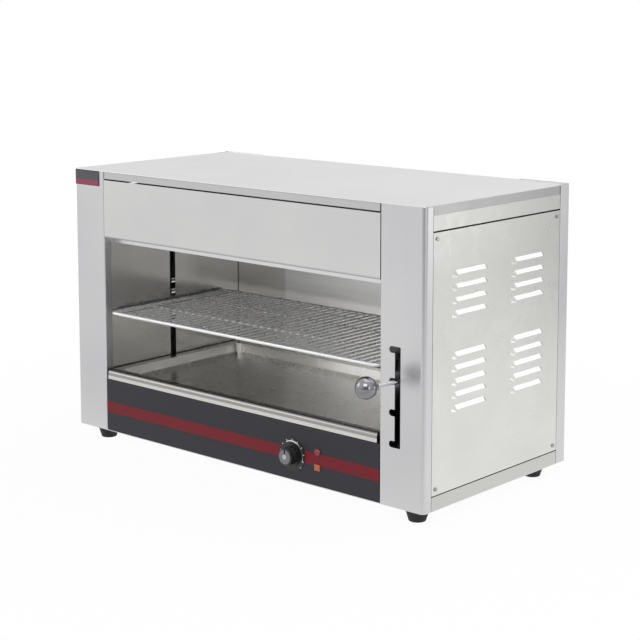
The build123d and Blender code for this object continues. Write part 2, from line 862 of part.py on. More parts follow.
block_z = (lever_z - block_height / 2, lever_z + block_height / 2)
block_y = (slot_middle_y - block_depth / 2, slot_middle_y + block_depth / 2)
bar_z = (lever_z - lift_bar_height / 2, lever_z + lift_bar_height / 2)
cross_bar_y = (
    front_y + lift_bar_setback - lift_bar_width / 2,
    front_y + lift_bar_setback + lift_bar_width / 2,
)
arm_z = (arm_middle_z - arm_height / 2, arm_middle_z + arm_height / 2)
arm_y = (slot_middle_y - arm_width / 2, slot_middle_y + arm_width / 2)
rail_low_z = rail_top_z - sheet
arm_plate_y = (slot_middle_y - arm_plate_length / 2, slot_middle_y + arm_plate_length / 2)
arm_plate_z = (rail_low_z - arm_plate_height, rail_low_z)

for side, name, wall in ((-1, "left", opening_left), (1, "right", opening_right)):
    inward = -side
    block_x = side * guide_x
    block_face = block_x + inward * block_width / 2
    plate_outer = wall + inward * wall_gap
    plate_inner = plate_outer + inward * sheet

    with BuildPart() as guide_block:
        slab((block_x - block_width / 2, block_x + block_width / 2), block_y, block_z)
        fillet(guide_block.edges().filter_by(Axis.Z), radius=tight_bend)
        with Locations((block_x, slot_middle_y, block_z[1])):
            Hole(radius=guide_diameter / 2 + guide_gap)
    keep(guide_block, "guide_block_" + name)

    with BuildPart() as carrier_arm:
        slab(sorted((block_face, plate_outer)), arm_y, arm_z)
        slab(sorted((plate_outer, plate_inner)), arm_plate_y, arm_plate_z)
    keep(carrier_arm, "carrier_arm_" + name)

    with BuildPart() as lift_arm:
        bar_x = (block_x - lift_bar_width / 2, block_x + lift_bar_width / 2)
        slab(bar_x, (block_y[1], cross_bar_y[0]), bar_z)
    keep(lift_arm, "lift_arm_" + name)

with BuildPart() as rack_rail_left:
    seat_x = opening_left + wall_gap
    corners = (
        (seat_x, rail_low_z + rail_upstand),
        (seat_x, rail_low_z),
        (seat_x + rail_seat, rail_low_z),
    )
    rail_plane = Plane.XZ.offset(-(front_y + rail_front + rail_length))
    add(folded_sheet(rail_plane, corners, [0], sheet, rail_length))
keep(rack_rail_left, "rack_rail_left")

with BuildPart() as rack_rail_right:
    mirror(rack_rail_left.part, about=middle_plane)
keep(rack_rail_right, "rack_rail_right")

with BuildPart() as cross_bar:
    bar_end = guide_x + lift_bar_width / 2
    slab((-bar_end, bar_end), cross_bar_y, bar_z)
    fillet(cross_bar.edges().filter_by(Axis.X), radius=tight_bend / 2)
keep(cross_bar, "lift_cross_bar")

# ================================================================ lever
boss_radius = lever_boss_diameter / 2
fork_low = lever_z - lever_boss_height / 2 - slide_gap - fork_plate
fork_high = lever_z + lever_boss_height / 2 + slide_gap + fork_plate

with BuildPart() as lever_fork:
    fork_x = (guide_x - fork_width / 2, guide_x + fork_width / 2)
    fork_y = (pivot_y - fork_width / 2, block_y[0])
    slab(fork_x, fork_y, (fork_low, fork_high))
    gap_z = (fork_low + fork_plate, fork_high - fork_plate)
    gap_y = (fork_y[0], pivot_y + boss_radius + 2 * wall_gap)
    slab(fork_x, gap_y, gap_z, mode=Mode.SUBTRACT)
    tips = lever_fork.edges().filter_by(Axis.Z).group_by(Axis.Y)[0]
    fillet(tips, radius=fork_width / 2 - wall_gap)
    with Locations((guide_x, pivot_y, fork_high)):
        Hole(radius=pin_diameter / 2 + pin_gap)
keep(lever_fork, "lever_fork")

with BuildPart() as lever_pin:
    with BuildSketch(Plane.XY.offset(fork_low - pin_head)):
        with Locations((guide_x, pivot_y)):
            Circle(pin_diameter / 2)
    extrude(amount=fork_high - fork_low + pin_head)
    with BuildSketch(Plane.XY.offset(fork_high)):
        with Locations((guide_x, pivot_y)):
            Circle(pin_head_diameter / 2)
    extrude(amount=pin_head)
keep(lever_pin, "lever_pin")

lever_direction = Vector(ball_centre.X - guide_x, ball_centre.Y - pivot_y, 0).normalized()
lever_line = Plane(
    origin=(guide_x, pivot_y, lever_z),
    x_dir=(-lever_direction.Y, lever_direction.X, 0),
    z_dir=lever_direction,
)
ball_radius = ball_diameter / 2
rod_start = pin_diameter / 2 + wall_gap
rod_end = lever_run - ball_radius + rod_grip

with BuildPart() as lever_rod:
    with BuildSketch(lever_line.offset(rod_start)):
        Circle(lever_rod_diameter / 2)
    extrude(amount=rod_end - rod_start)
keep(lever_rod, "lever_rod")

with BuildPart() as lever_hub:
    with BuildSketch(Plane.XY.offset(lever_z - lever_boss_height / 2)):
        with Locations((guide_x, pivot_y)):
            Circle(boss_radius)
    extrude(amount=lever_boss_height)
    with Locations((guide_x, pivot_y, lever_z + lever_boss_height / 2)):
        Hole(radius=pin_diameter / 2 + pin_gap)
    with BuildSketch(lever_line):
        Circle(lever_rod_diameter / 2 + press_gap)
    extrude(amount=lever_boss_diameter, mode=Mode.SUBTRACT)
keep(lever_hub, "lever_hub")

with BuildPart() as lever_ball:
    with Locations(ball_centre):
        Sphere(ball_radius)
    with BuildSketch(lever_line.offset(lever_run - ball_radius - ball_neck_length)):
        Circle(ball_neck_diameter / 2)
    extrude(amount=ball_neck_length + ball_radius / 2)
    with BuildSketch(lever_line.offset(lever_run - ball_radius - ball_neck_length)):
        Circle(lever_rod_diameter / 2 + press_gap)
    extrude(amount=ball_neck_length + rod_grip + slide_gap, mode=Mode.SUBTRACT)
keep(lever_ball, "lever_ball")

# ================================================================ wire rack
bar_inset = rack_bar_radius
frame_left = rack_left + bar_inset
frame_right = rack_right - bar_inset
frame_front = front_y + rack_front + bar_inset
frame_rear = front_y + rack_depth - bar_inset
wire_radius = wire_diameter / 2
wire_z = rack_z + wire_rise
rack_bar_z = wire_z - wire_radius - rack_bar_thickness / 2 + weld_sink
wire_span = frame_right - frame_left - 2 * (rack_corner + wire_diameter)
wire_pitch = wire_span / (wire_count - 1)

with BuildPart() as wire_rack:
    with BuildLine():
        rack_outline = FilletPolyline(
            (frame_left, frame_front, rack_z),
            (frame_right, frame_front, rack_z),
            (frame_right, frame_rear, rack_z),
            (frame_left, frame_rear, rack_z),
            radius=rack_corner,
            close=True,
        )
    with BuildSketch(Plane(rack_outline @ 0, z_dir=rack_outline % 0)):
        Circle(rack_bar_radius)
    sweep(path=rack_outline)
    with BuildSketch(Plane.YZ.offset(frame_left)):
        with Locations(*[(front_y + setback, rack_bar_z) for setback in rack_bar_setbacks]):
            Circle(rack_bar_thickness / 2)
    extrude(amount=frame_right - frame_left)
    with BuildSketch(Plane.XZ.offset(-frame_front)):
        with Locations(((frame_left + frame_right) / 2, wire_z)):
            with GridLocations(wire_pitch, 0, wire_count, 1):
                Circle(wire_radius)
    extrude(amount=frame_front - frame_rear)
keep(wire_rack, "wire_rack")

# ================================================================ drip tray
tray_front_y = front_y + tray_lip_clearance - tray_sheet
tray_rear_y = front_y + tray_depth
tray_middle_x = (tray_left + tray_right) / 2
pan_width = tray_width - 2 * tray_rim_width
pan_front_y = tray_front_y + tray_rim_width
pan_rear_y = tray_rear_y - tray_rim_width
pan_middle = (tray_middle_x, (pan_front_y + pan_rear_y) / 2)
pan_depth = pan_rear_y - pan_front_y

with BuildPart() as drip_tray:
    rim_y = (tray_front_y + tray_lip_bend, tray_rear_y)
    slab((tray_left, tray_right), rim_y, (tray_rim_z - tray_sheet, tray_rim_z))
    with BuildSketch(Plane.XY.offset(tray_rim_z)):
        with Locations(pan_middle):
            RectangleRounded(pan_width, pan_depth, tray_corner)
    extrude(amount=tray_floor_z - tray_rim_z, taper=tray_draft)
    with BuildSketch(Plane.XY.offset(tray_rim_z)):
        with Locations(pan_middle):
            inner_corner = tray_corner - tray_sheet
            RectangleRounded(pan_width - 2 * tray_sheet, pan_depth - 2 * tray_sheet, inner_corner)
    pan_fall = tray_rim_z - tray_floor_z - tray_sheet
    extrude(amount=-pan_fall, taper=tray_draft, mode=Mode.SUBTRACT)
    lip_corners = (
        (pan_front_y, tray_rim_z),
        (tray_front_y, tray_rim_z),
        (tray_front_y, tray_floor_z),
    )
    add(folded_sheet(Plane.YZ.offset(tray_left), lip_corners, [tray_lip_bend], tray_sheet, tray_width))
keep(drip_tray, "drip_tray")

# ================================================================ supply terminals and gland
with BuildPart() as terminal_block:
    terminal_x = guide_x - terminal_width / 2
    terminal_y = rear_y - terminal_setback
    terminal_z = (wall_low_z, wall_low_z + terminal_height)
    terminal_run = (terminal_y, terminal_y + terminal_length)
    slab((terminal_x, terminal_x + terminal_width), terminal_run, terminal_z)
    with Locations((guide_x, terminal_y + terminal_length / 2, terminal_z[1])):
        with GridLocations(*terminal_pitch, terminal_columns, terminal_rows):
            Hole(radius=screw_diameter / 2, depth=terminal_height / 2)
keep(terminal_block, "terminal_block")

gland_plane = Plane((gland_x, back_outer_y, gland_z), x_dir=(1, 0, 0), z_dir=(0, 1, 0))
with BuildPart() as cable_gland:
    with BuildSketch(gland_plane):
        RegularPolygon(gland_nut_across / 2, hex_sides, major_radius=False)
    extrude(amount=gland_nut_thickness)
    with BuildSketch(gland_plane.offset(gland_nut_thickness)):
        Circle(gland_thread_diameter / 2 + gland_dome_rise)
    with BuildSketch(gland_plane.offset(gland_nut_thickness + gland_dome_length)):
        Circle(gland_bore_diameter / 2 + gland_dome_rise)
    loft()
    with BuildSketch(gland_plane):
        Circle(gland_thread_diameter / 2)
    extrude(amount=-(sheet + gland_nut_thickness))
    with BuildSketch(gland_plane.offset(-sheet)):
        RegularPolygon(gland_nut_across / 2, hex_sides, major_radius=False)
    extrude(amount=-gland_nut_thickness)
    with BuildSketch(gland_plane.offset(gland_nut_thickness + gland_dome_length)):
        Circle(gland_bore_diameter / 2)
    gland_through = 2 * gland_nut_thickness + gland_dome_length + sheet
    extrude(amount=-gland_through, mode=Mode.SUBTRACT)
keep(cable_gland, "cable_gland")

# ================================================================ feet
with BuildPart() as feet:
    with BuildSketch():
        with Locations(*foot_places):
            Circle(foot_bottom_diameter / 2)
    foot_flare = degrees(atan2((foot_bottom_diameter - foot_top_diameter) / 2, foot_height))
    extrude(amount=foot_height, taper=foot_flare)
    fillet(feet.edges().group_by(Axis.Z)[0], radius=foot_edge)
    with BuildSketch():
        with Locations(*foot_places):
            Circle(foot_recess_diameter / 2)
    extrude(amount=foot_recess_depth, mode=Mode.SUBTRACT)
    with BuildSketch():
        with Locations(*foot_places):
            Circle(foot_screw_diameter / 2 + hole_clearance)
    extrude(amount=foot_height, mode=Mode.SUBTRACT)
keep(feet, "feet")

with BuildPart() as foot_screws:
    with BuildSketch(Plane.XY.offset(foot_recess_depth)):
        with Locations(*foot_places):
            Circle(foot_screw_head / 2)
    extrude(amount=-foot_recess_depth / 2)
    with BuildSketch(Plane.XY.offset(foot_recess_depth)):
        with Locations(*foot_places):
            Circle(foot_screw_diameter / 2)
    extrude(amount=foot_height - foot_recess_depth + sheet + foot_nut_height)
    with BuildSketch(Plane.XY.offset(wall_low_z)):
        with Locations(*foot_places):
            RegularPolygon(foot_nut_across / 2, hex_sides, major_radius=False)
    extrude(amount=foot_nut_height)
keep(foot_screws, "foot_screws")
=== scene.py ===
from math import pi, radians

import bmesh
import bpy
from bpy.props import FloatProperty, FloatVectorProperty, IntProperty, PointerProperty
from mathutils import Matrix, Vector


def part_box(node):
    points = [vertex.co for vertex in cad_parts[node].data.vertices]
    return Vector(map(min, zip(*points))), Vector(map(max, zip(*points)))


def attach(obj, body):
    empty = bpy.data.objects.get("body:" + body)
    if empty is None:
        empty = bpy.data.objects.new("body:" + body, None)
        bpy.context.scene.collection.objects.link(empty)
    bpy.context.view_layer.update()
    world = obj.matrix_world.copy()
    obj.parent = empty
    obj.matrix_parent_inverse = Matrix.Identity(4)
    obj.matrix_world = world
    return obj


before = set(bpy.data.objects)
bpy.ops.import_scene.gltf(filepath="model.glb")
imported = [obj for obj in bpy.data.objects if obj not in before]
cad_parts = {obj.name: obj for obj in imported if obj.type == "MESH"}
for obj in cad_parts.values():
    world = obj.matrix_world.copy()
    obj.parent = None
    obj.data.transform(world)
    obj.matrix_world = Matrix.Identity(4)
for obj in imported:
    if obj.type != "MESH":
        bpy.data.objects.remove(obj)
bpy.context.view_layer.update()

bl_info = {
    "name": "Cheese melter looks",
    "version": (1, 0, 0),
    "blender": (4, 5, 0),
    "location": "View3D > Sidebar > Melter",
    "description": "Finishes, small trim and studio for the cheese melter's packed frame",
    "category": "Object",
}

MM = 0.001
WHITE = (1.0, 1.0, 1.0, 1.0)
SENSOR_WIDTH = 36.0
DIAL_SWEEP = 270
ARC_STEPS = 48

# noise hardly leaves the middle of its range, so that middle is spread over a finish's two tones
NOISE_LOW, NOISE_HIGH = 0.3, 0.7


# ---------------------------------------------------------------- helpers
def linear(hex_colour):
    """A hex sRGB colour as linear red, green, blue and an alpha of 1."""
    channels = [int(hex_colour[i:i + 2], 16) / 255 for i in (1, 3, 5)]
    red_green_blue = [c / 12.92 if c <= 0.04045 else ((c + 0.055) / 1.055) ** 2.4 for c in channels]
    return (*red_green_blue, 1.0)


def add_node(tree, kind, settings=None, values=None, links=None):
    """One node with its settings, its input values and what feeds it."""
    node = tree.nodes.new(kind)
    for name, value in (settings or {}).items():
        setattr(node, name, value)
    for socket, value in (values or {}).items():
        node.inputs[socket].default_value = value
    for socket, source in (links or {}).items():
        tree.links.new(source, node.inputs[socket])
    return node


def blank_material(name):
    """An empty node material and its tree."""
    material = bpy.data.materials.get(name)
    if material:
        bpy.data.materials.remove(material)
    material = bpy.data.materials.new(name)
    material.use_nodes = True
    material.node_tree.nodes.clear()
    return material, material.node_tree


def close_material(tree, shader):
    """Sends the finished shader to the material's output."""
    add_node(tree, "ShaderNodeOutputMaterial", links={"Surface": shader})


def object_pattern(tree, scale, kind="ShaderNodeTexNoise", values=None, settings=None):
    """A pattern on the object's own coordinates, its scale given on each axis in cycles a metre."""
    place = add_node(tree, "ShaderNodeTexCoord")
    mapping = add_node(tree, "ShaderNodeMapping", values={"Scale": scale},
                       links={"Vector": place.outputs["Object"]})
    given = {"Scale": 1.0}
    given.update(values or {})
    return add_node(tree, kind, settings, given, {"Vector": mapping.outputs["Vector"]})


def ramp_between(tree, source, low, high):
    """A colour ramp from one colour to another, fed by a pattern."""
    node = add_node(tree, "ShaderNodeValToRGB", links={"Fac": source})
    node.color_ramp.elements[0].color = low
    node.color_ramp.elements[1].color = high
    return node


def range_between(tree, source, low, high, start=0.0, end=1.0):
    """A value spread between two limits, fed by a pattern."""
    return add_node(tree, "ShaderNodeMapRange",
                    values={"From Min": start, "From Max": end, "To Min": low, "To Max": high},
                    links={"Value": source})


# ---------------------------------------------------------------- finishes
def brushed_sheet(name, dark, light, grain, rough, haze=0.03, clouding=6.0, bump=0.00001, bands=()):
    """Stainless sheet, brushed along the axis whose grain is coarse: fine streaks, broad clouds, a soft blur.

    Haze is how far the handling marks move the roughness, and clouding is their size, in clouds a metre.
    """
    material, tree = blank_material(name)
    streaks = object_pattern(tree, grain, values={"Detail": 3.0, "Roughness": 0.55})
    clouds = object_pattern(tree, (clouding,) * 3, values={"Detail": 3.0, "Roughness": 0.5})
    handling = object_pattern(tree, (clouding * 4,) * 3,
                              values={"Detail": 4.0, "Roughness": 0.6, "Distortion": 0.8})
    blend = add_node(tree, "ShaderNodeMix", {"data_type": "FLOAT"}, {"Factor": 0.7},
                     {2: streaks.outputs["Fac"], 3: clouds.outputs["Fac"]})
    colour = ramp_between(tree, blend.outputs[0], linear(dark), linear(light))
    colour.color_ramp.elements[0].position = NOISE_LOW
    colour.color_ramp.elements[1].position = NOISE_HIGH
    tint = banded(tree, colour.outputs["Color"], bands) if bands else colour.outputs["Color"]
    roughness = range_between(tree, handling.outputs["Fac"], rough - haze, rough + haze, NOISE_LOW, NOISE_HIGH)
    relief = add_node(tree, "ShaderNodeBump", None, {"Strength": 0.2, "Distance": bump},
                      {"Height": streaks.outputs["Fac"]})
    shader = add_node(tree, "ShaderNodeBsdfPrincipled", None, {"Metallic": 1.0},
                      {"Base Color": tint, "Roughness": roughness.outputs["Result"],
                       "Normal": relief.outputs["Normal"]})
    close_material(tree, shader.outputs["BSDF"])
    return material


def banded(tree, colour, bands):
    """The sheet's colour with other tones in places: painted shade, painted highlights and a dark joint.

    Each band is a colour, the half width of its soft edge, and its limits by axis in the part's own frame.
    """
    place = add_node(tree, "ShaderNodeTexCoord")
    split = add_node(tree, "ShaderNodeSeparateXYZ", links={"Vector": place.outputs["Object"]})
    for tone, soft, limits in bands:
        share = None
        for axis, (low, high) in limits.items():
            rise = range_between(tree, split.outputs[axis], 0.0, 1.0, low - soft, low + soft)
            fall = range_between(tree, split.outputs[axis], 1.0, 0.0, high - soft, high + soft)
            window = times(tree, rise.outputs["Result"], fall.outputs["Result"])
            share = window if share is None else times(tree, share, window)
        mix = add_node(tree, "ShaderNodeMix", {"data_type": "RGBA"}, {7: linear(tone)},
                       {0: share, 6: colour})
        colour = mix.outputs[2]
    return colour


def polished_metal(name, dark, light, rough, cloud_size, metallic=1.0):
    """Plated or polished metal with faint patches where it has been handled, a cloud size in metres."""
    material, tree = blank_material(name)
    clouds = object_pattern(tree, (1 / cloud_size,) * 3, values={"Detail": 3.0})
    colour = ramp_between(tree, clouds.outputs["Fac"], linear(dark), linear(light))
    roughness = range_between(tree, clouds.outputs["Fac"], rough * 0.6, rough * 1.4, NOISE_LOW, NOISE_HIGH)
    shader = add_node(tree, "ShaderNodeBsdfPrincipled", None, {"Metallic": metallic},
                      {"Base Color": colour.outputs["Color"], "Roughness": roughness.outputs["Result"]})
    close_material(tree, shader.outputs["BSDF"])
    return material


def painted(name, dark, light, rough, grit, relief_depth, coat=0.0, shine=0.5):
    """Paint, print, moulded plastic or rubber: one colour, with a faint grain in its relief, grit in metres."""
    material, tree = blank_material(name)
    grain = object_pattern(tree, (1 / grit,) * 3, values={"Detail": 3.0, "Roughness": 0.6})
    clouds = object_pattern(tree, (14.0,) * 3, values={"Detail": 2.0})
    colour = ramp_between(tree, clouds.outputs["Fac"], linear(dark), linear(light))
    roughness = range_between(tree, clouds.outputs["Fac"], rough - 0.05, rough + 0.06, NOISE_LOW, NOISE_HIGH)
    relief = add_node(tree, "ShaderNodeBump", None, {"Strength": 0.4, "Distance": relief_depth},
                      {"Height": grain.outputs["Fac"]})
    shader = add_node(tree, "ShaderNodeBsdfPrincipled", None,
                      {"Coat Weight": coat, "Coat Roughness": 0.15, "Specular IOR Level": shine},
                      {"Base Color": colour.outputs["Color"], "Roughness": roughness.outputs["Result"],
                       "Normal": relief.outputs["Normal"]})
    close_material(tree, shader.outputs["BSDF"])
    return material


def lens_plastic(name, dark, light):
    """Moulded polycarbonate lens: deep, glossy colour over a ribbed back."""
    material, tree = blank_material(name)
    ribs = object_pattern(tree, (500.0, 1.0, 1.0), "ShaderNodeTexWave",
                          {"Scale": 0.6, "Distortion": 0.0}, {"wave_type": "BANDS", "bands_direction": "X"})
    colour = ramp_between(tree, ribs.outputs["Fac"], linear(dark), linear(light))
    relief = add_node(tree, "ShaderNodeBump", None, {"Strength": 0.5, "Distance": 0.0002},
                      {"Height": ribs.outputs["Fac"]})
    shader = add_node(tree, "ShaderNodeBsdfPrincipled", None,
                      {"Roughness": 0.22, "Coat Weight": 0.5, "Coat Roughness": 0.08},
                      {"Base Color": colour.outputs["Color"], "Normal": relief.outputs["Normal"]})
    close_material(tree, shader.outputs["BSDF"])
    return material


# brush lines across and along the grain, in lines a metre: on real sheet they are about 0.1 mm apart, which is
# too fine to show, so they are drawn about 1.5 mm apart
ACROSS = 650.0
ALONG = 6.0
GRAIN_ALONG = (ALONG, ACROSS, ACROSS)
GRAIN_UPRIGHT = (ACROSS, ACROSS, ALONG)
GRAIN_DEPTH = (ACROSS, ALONG, ACROSS)
# rolled and pressed sheet has shorter, broader lines
GRAIN_ROLLED = (ALONG * 2, ACROSS / 2, ACROSS / 2)

# past every piece, for a band that is open at one end
FAR = 10.0
SHARP_EDGE = 0.4 * MM


def lid_painted_shade_bands():
    """The lid's turned-down edges carry painted shade, darker than its top, the bend and the sides most of all.
    """
    low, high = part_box("lid")
    bend_top, bend_foot = high.z - 1.4 * MM, high.z - 2.6 * MM
    side = 1.5 * MM
    return (("#c8c8c8", SHARP_EDGE, {"Z": (-FAR, bend_foot)}),
            ("#b2b2b2", SHARP_EDGE, {"Z": (bend_foot, bend_top)}),
            ("#b4b4b4", SHARP_EDGE, {"X": (high.x - side, FAR)}),
            ("#b4b4b4", SHARP_EDGE, {"X": (-FAR, low.x + side)}))


def header_painted_light_bands():
    """The header's folded lip carries a painted highlight, a little brighter, under a painted shade line along
    its crease.
    """
    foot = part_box("header_panel")[0].z
    crease = foot + 9.0 * MM
    return (("#dfdfdf", SHARP_EDGE, {"Z": (-FAR, crease)}),
            ("#c2c2c2", 0.5 * MM, {"Z": (crease, foot + 13.0 * MM)}))


def back_shade_and_joint_bands():
    """The back liner carries painted shade at its left, and has a dark line at the joint in that corner."""
    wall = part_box("liner_left")[1].x
    return (("#dddcda", 3.0 * MM, {"X": (-FAR, wall + 118.0 * MM)}),
            ("#6a6864", 0.6 * MM, {"X": (wall - 2.0 * MM, wall + 1.6 * MM)}))


def tray_painted_shade_bands():
    """The tray's rolled front edge, with painted shade along its top and darker painted shade at the very top,
    where its highlight falls.
    """
    low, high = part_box("drip_tray")
    front = (-FAR, low.y + 14.0 * MM)
    edge = 0.8 * MM
    return (("#a6a5a3", edge, {"Y": front, "Z": (high.z - 9.5 * MM, FAR)}),
            ("#7c7b78", edge, {"Y": front, "Z": (high.z - 3.0 * MM, FAR)}))


def panel_painted_shade_bands():
    """The side panels, with painted shade growing by degrees towards their tops, and painted shade on the rails
    under them.
    """
    low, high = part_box("side_panel_right")
    dull_above = low.z + 0.72 * (high.z - low.z)
    return (("#cdcdca", 45.0 * MM, {"Z": (dull_above, FAR)}),
            ("#cacac7", SHARP_EDGE, {"Z": (-FAR, low.z - 0.8 * MM)}))


def make_finishes():
    """Every finish of the melter, by name, each with what it gives the eye."""
    return {
        # brushed 18/8 stainless, grain along the front: light grey with a soft blur
        "stainless along": brushed_sheet("brushed stainless, grain along", "#d3d3d3", "#dadad9",
                                         GRAIN_ALONG, 0.32),
        # the same sheet for the lid, with painted shade on its turned-down edges, darker than its top
        "stainless lid": brushed_sheet("brushed stainless lid, painted shade on edges", "#d3d3d3", "#dadad9",
                                       GRAIN_ALONG, 0.32, bands=lid_painted_shade_bands()),
        # the header's sheet, with a painted highlight on its folded lip under a painted shade line along its
        # crease
        "stainless header": brushed_sheet("brushed stainless with a painted lip highlight", "#d3d3d3", "#dadad9",
                                          GRAIN_ALONG, 0.32, bands=header_painted_light_bands()),
        # brushed 18/8 stainless, grain upright, as posts are cut from the sheet: a cooler grey
        "stainless upright": brushed_sheet("brushed stainless, grain upright", "#d0d0d2", "#d7d7d8",
                                           GRAIN_UPRIGHT, 0.32),
        # brushed 18/8 stainless, grain front to back on the side panels: paler, with small clouds, and painted
        # shade towards the panels' tops and on the rails
        "stainless depth": brushed_sheet("brushed stainless, grain front to back", "#d8d8d5", "#e2e2df",
                                         GRAIN_DEPTH, 0.3, 0.04, 11.0, bands=panel_painted_shade_bands()),
        # bright rolled stainless: nearly a mirror, so it shows the rack and the dark roof, a little blotchy
        "liner": brushed_sheet("bright rolled stainless liner", "#dddcd9", "#e4e3e0",
                               GRAIN_ROLLED, 0.19, 0.05, 9.0),
        # the same sheet, painted brighter than the liner as a stand-in for light, and rougher at the back, so
        # it spreads the light that comes in at the front
        "liner back": brushed_sheet("dull rolled stainless liner, painted brighter", "#f0f0f0", "#f6f6f6",
                                    GRAIN_ROLLED, 0.42, 0.03, 9.0, bands=back_shade_and_joint_bands()),
        # pressed stainless tray: blurred, slightly warm reflections, and painted shade along its front edge's
        # top
        "tray": brushed_sheet("pressed stainless tray", "#dcdbd7", "#e3e2de",
                              GRAIN_ROLLED, 0.26, 0.03, 12.0, bands=tray_painted_shade_bands()),
        # plated drawn wire with a pale bloom: half a metal, so it stays light against the dark tray
        "chrome": polished_metal("plated wire with a pale bloom", "#e2e2e3", "#ededee", 0.32, 0.02, 0.55),
        # chromium plated steel rod: bright, with soft lights along it
        "rod": polished_metal("plated lever rod", "#e6e6e7", "#f0f0f1", 0.26, 0.02),
        # polished steel ball: a mirror of the room, darker than the sheets
        "ball": polished_metal("polished steel ball", "#85858a", "#98989c", 0.09, 0.03),
        # zinc plate with its faint bluish bloom
        "zinc": polished_metal("bright zinc plate", "#a3a6aa", "#bcbec0", 0.3, 0.01),
        # plain steel screws: grey heads, a little darker than the sheet
        "screw": polished_metal("plain steel screws", "#9a9a9a", "#b8b8b8", 0.3, 0.004),
        # satin aluminium cap: a pale dot in the middle of the knob
        "cap": polished_metal("satin aluminium cap", "#b4b4b6", "#cfcfd0", 0.3, 0.004),
        # satin charcoal enamel: a faintly violet dark grey with little shine
        "charcoal": painted("satin charcoal enamel", "#29272e", "#2d2b33", 0.42, 0.0012, 0.00002, 0.0, 0.35),
        # dark red screen print on the enamel, as flat as the enamel
        "red print": painted("dark red screen print", "#700f1c", "#791524", 0.44, 0.0012, 0.00001, 0.0, 0.3),
        # badge plate: charcoal print on thin plate, lighter than the fascia, with a darker rim and crimson foot
        "badge": painted("charcoal printed plate", "#47464c", "#514f55", 0.38, 0.0012, 0.00001),
        "badge border": painted("black printed border", "#1d1c20", "#242327", 0.38, 0.0012, 0.00001),
        "badge red": painted("crimson printed band", "#912f49", "#9c3852", 0.38, 0.0012, 0.00001),
        # phenolic moulding: black, satin, very slightly pebbled
        "phenolic": painted("black phenolic moulding", "#141416", "#1d1d20", 0.36, 0.0015, 0.00003, 0.15),
        # the same moulding in grey on the knob's face, so the knob reads against its dial
        "knob face": painted("grey knob face moulding", "#6d6d70", "#88888b", 0.35, 0.0015, 0.00002),
        # white screen print: small pale ticks
        "dial marks": painted("white printed marks", "#dcdcdc", "#ececec", 0.5, 0.001, 0.00001),
        # moulded thermoset of the regulator and lamp bodies: dull brown black
        "regulator": painted("dark moulded thermoset", "#2a2826", "#353230", 0.5, 0.0015, 0.00004),
        # moulded polycarbonate lenses: saturated, glossy, with fine ribs
        "amber": lens_plastic("amber polycarbonate", "#a84a1c", "#cc6426"),
        "red": lens_plastic("red polycarbonate", "#7c1226", "#a61c36"),
        # incoloy element sheath, darkened by heat to a dull brown grey
        "element": brushed_sheet("heat darkened sheath", "#4a4440", "#6a625c", (60.0, 200.0, 200.0), 0.45, 0.1),
        # unglazed steatite: matt cream
        "steatite": painted("unglazed steatite", "#d8d2c4", "#e6e1d5", 0.7, 0.001, 0.00004),
        # moulded nylon: black with a soft shine
        "nylon": painted("black moulded nylon", "#151515", "#1e1e1e", 0.45, 0.001, 0.00003),
        # foot rubber: matt black
        "rubber": painted("black foot rubber", "#121212", "#1c1b1b", 0.7, 0.0015, 0.00006),
    }


FINISH = {}

NODE_FINISH = {
    "stainless along": ["base_pan", "back_panel"],
    "stainless lid": ["lid"],
    "stainless header": ["header_panel"],
    "stainless upright": ["front_post_left", "front_post_right", "rear_post_left", "rear_post_right"],
    "stainless depth": ["side_panel_left", "side_panel_right", "lower_rail_left", "lower_rail_right",
                        "upper_rail_left", "upper_rail_right", "panel_clips"],
    "liner back": ["liner_back"],
    "liner": ["liner_left", "liner_right", "reflector", "tray_runner_left",
              "tray_runner_right", "element_hanger"],
    "tray": ["drip_tray"],
    "charcoal": ["control_fascia"],
    "red print": ["fascia_stripe"],
    "badge": ["badge_plate"],
    "chrome": ["wire_rack"],
    "ball": ["lever_ball"],
    "zinc": ["guide_rods", "guide_brackets", "guide_block_left", "guide_block_right", "carrier_arm_left",
             "carrier_arm_right", "rack_rail_left", "rack_rail_right", "lift_arm_left", "lift_arm_right",
             "lift_cross_bar", "lever_fork", "lever_pin", "lever_hub", "knob_spindle"],
    "rod": ["lever_rod"],
    "screw": ["side_panel_screws", "back_panel_screws", "foot_screws"],
    "phenolic": ["control_knob", "dial_plate"],
    "cap": ["knob_cap"],
    "regulator": ["regulator", "lamp_bodies", "terminal_block"],
    "amber": ["lamp_lens_amber"],
    "red": ["lamp_lens_red"],
    "element": ["heating_elements"],
    "steatite": ["element_bushes"],
    "nylon": ["cable_gland"],
    "rubber": ["feet"],
}


def finish_nodes(*finishes):
    """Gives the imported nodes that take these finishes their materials."""
    for finish in finishes:
        for node in NODE_FINISH[finish]:
            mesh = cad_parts[node].data
            mesh.materials.clear()
            mesh.materials.append(FINISH[finish])


# ---------------------------------------------------------------- meshes
def new_piece(name, bm, finish, body):
    """Makes a piece of a bmesh whose points are already in place, and ties it to its body."""
    bmesh.ops.remove_doubles(bm, verts=bm.verts, dist=0.000001)
    bmesh.ops.recalc_face_normals(bm, faces=bm.faces)
    mesh = bpy.data.meshes.new(name)
    bm.to_mesh(mesh)
    bm.free()
    mesh.materials.append(FINISH[finish])
    piece = bpy.data.objects.new(name, mesh)
    bpy.context.scene.collection.objects.link(piece)
    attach(piece, body)


def box_of(bm, low, high):
    """Adds a box between two corners and gives back its points."""
    low, high = Vector(low), Vector(high)
    middle = Matrix.Translation((low + high) / 2)
    size = Matrix.Diagonal((high - low).to_4d())
    size[3][3] = 1.0
    return bmesh.ops.create_cube(bm, size=1.0, matrix=middle @ size)["verts"]


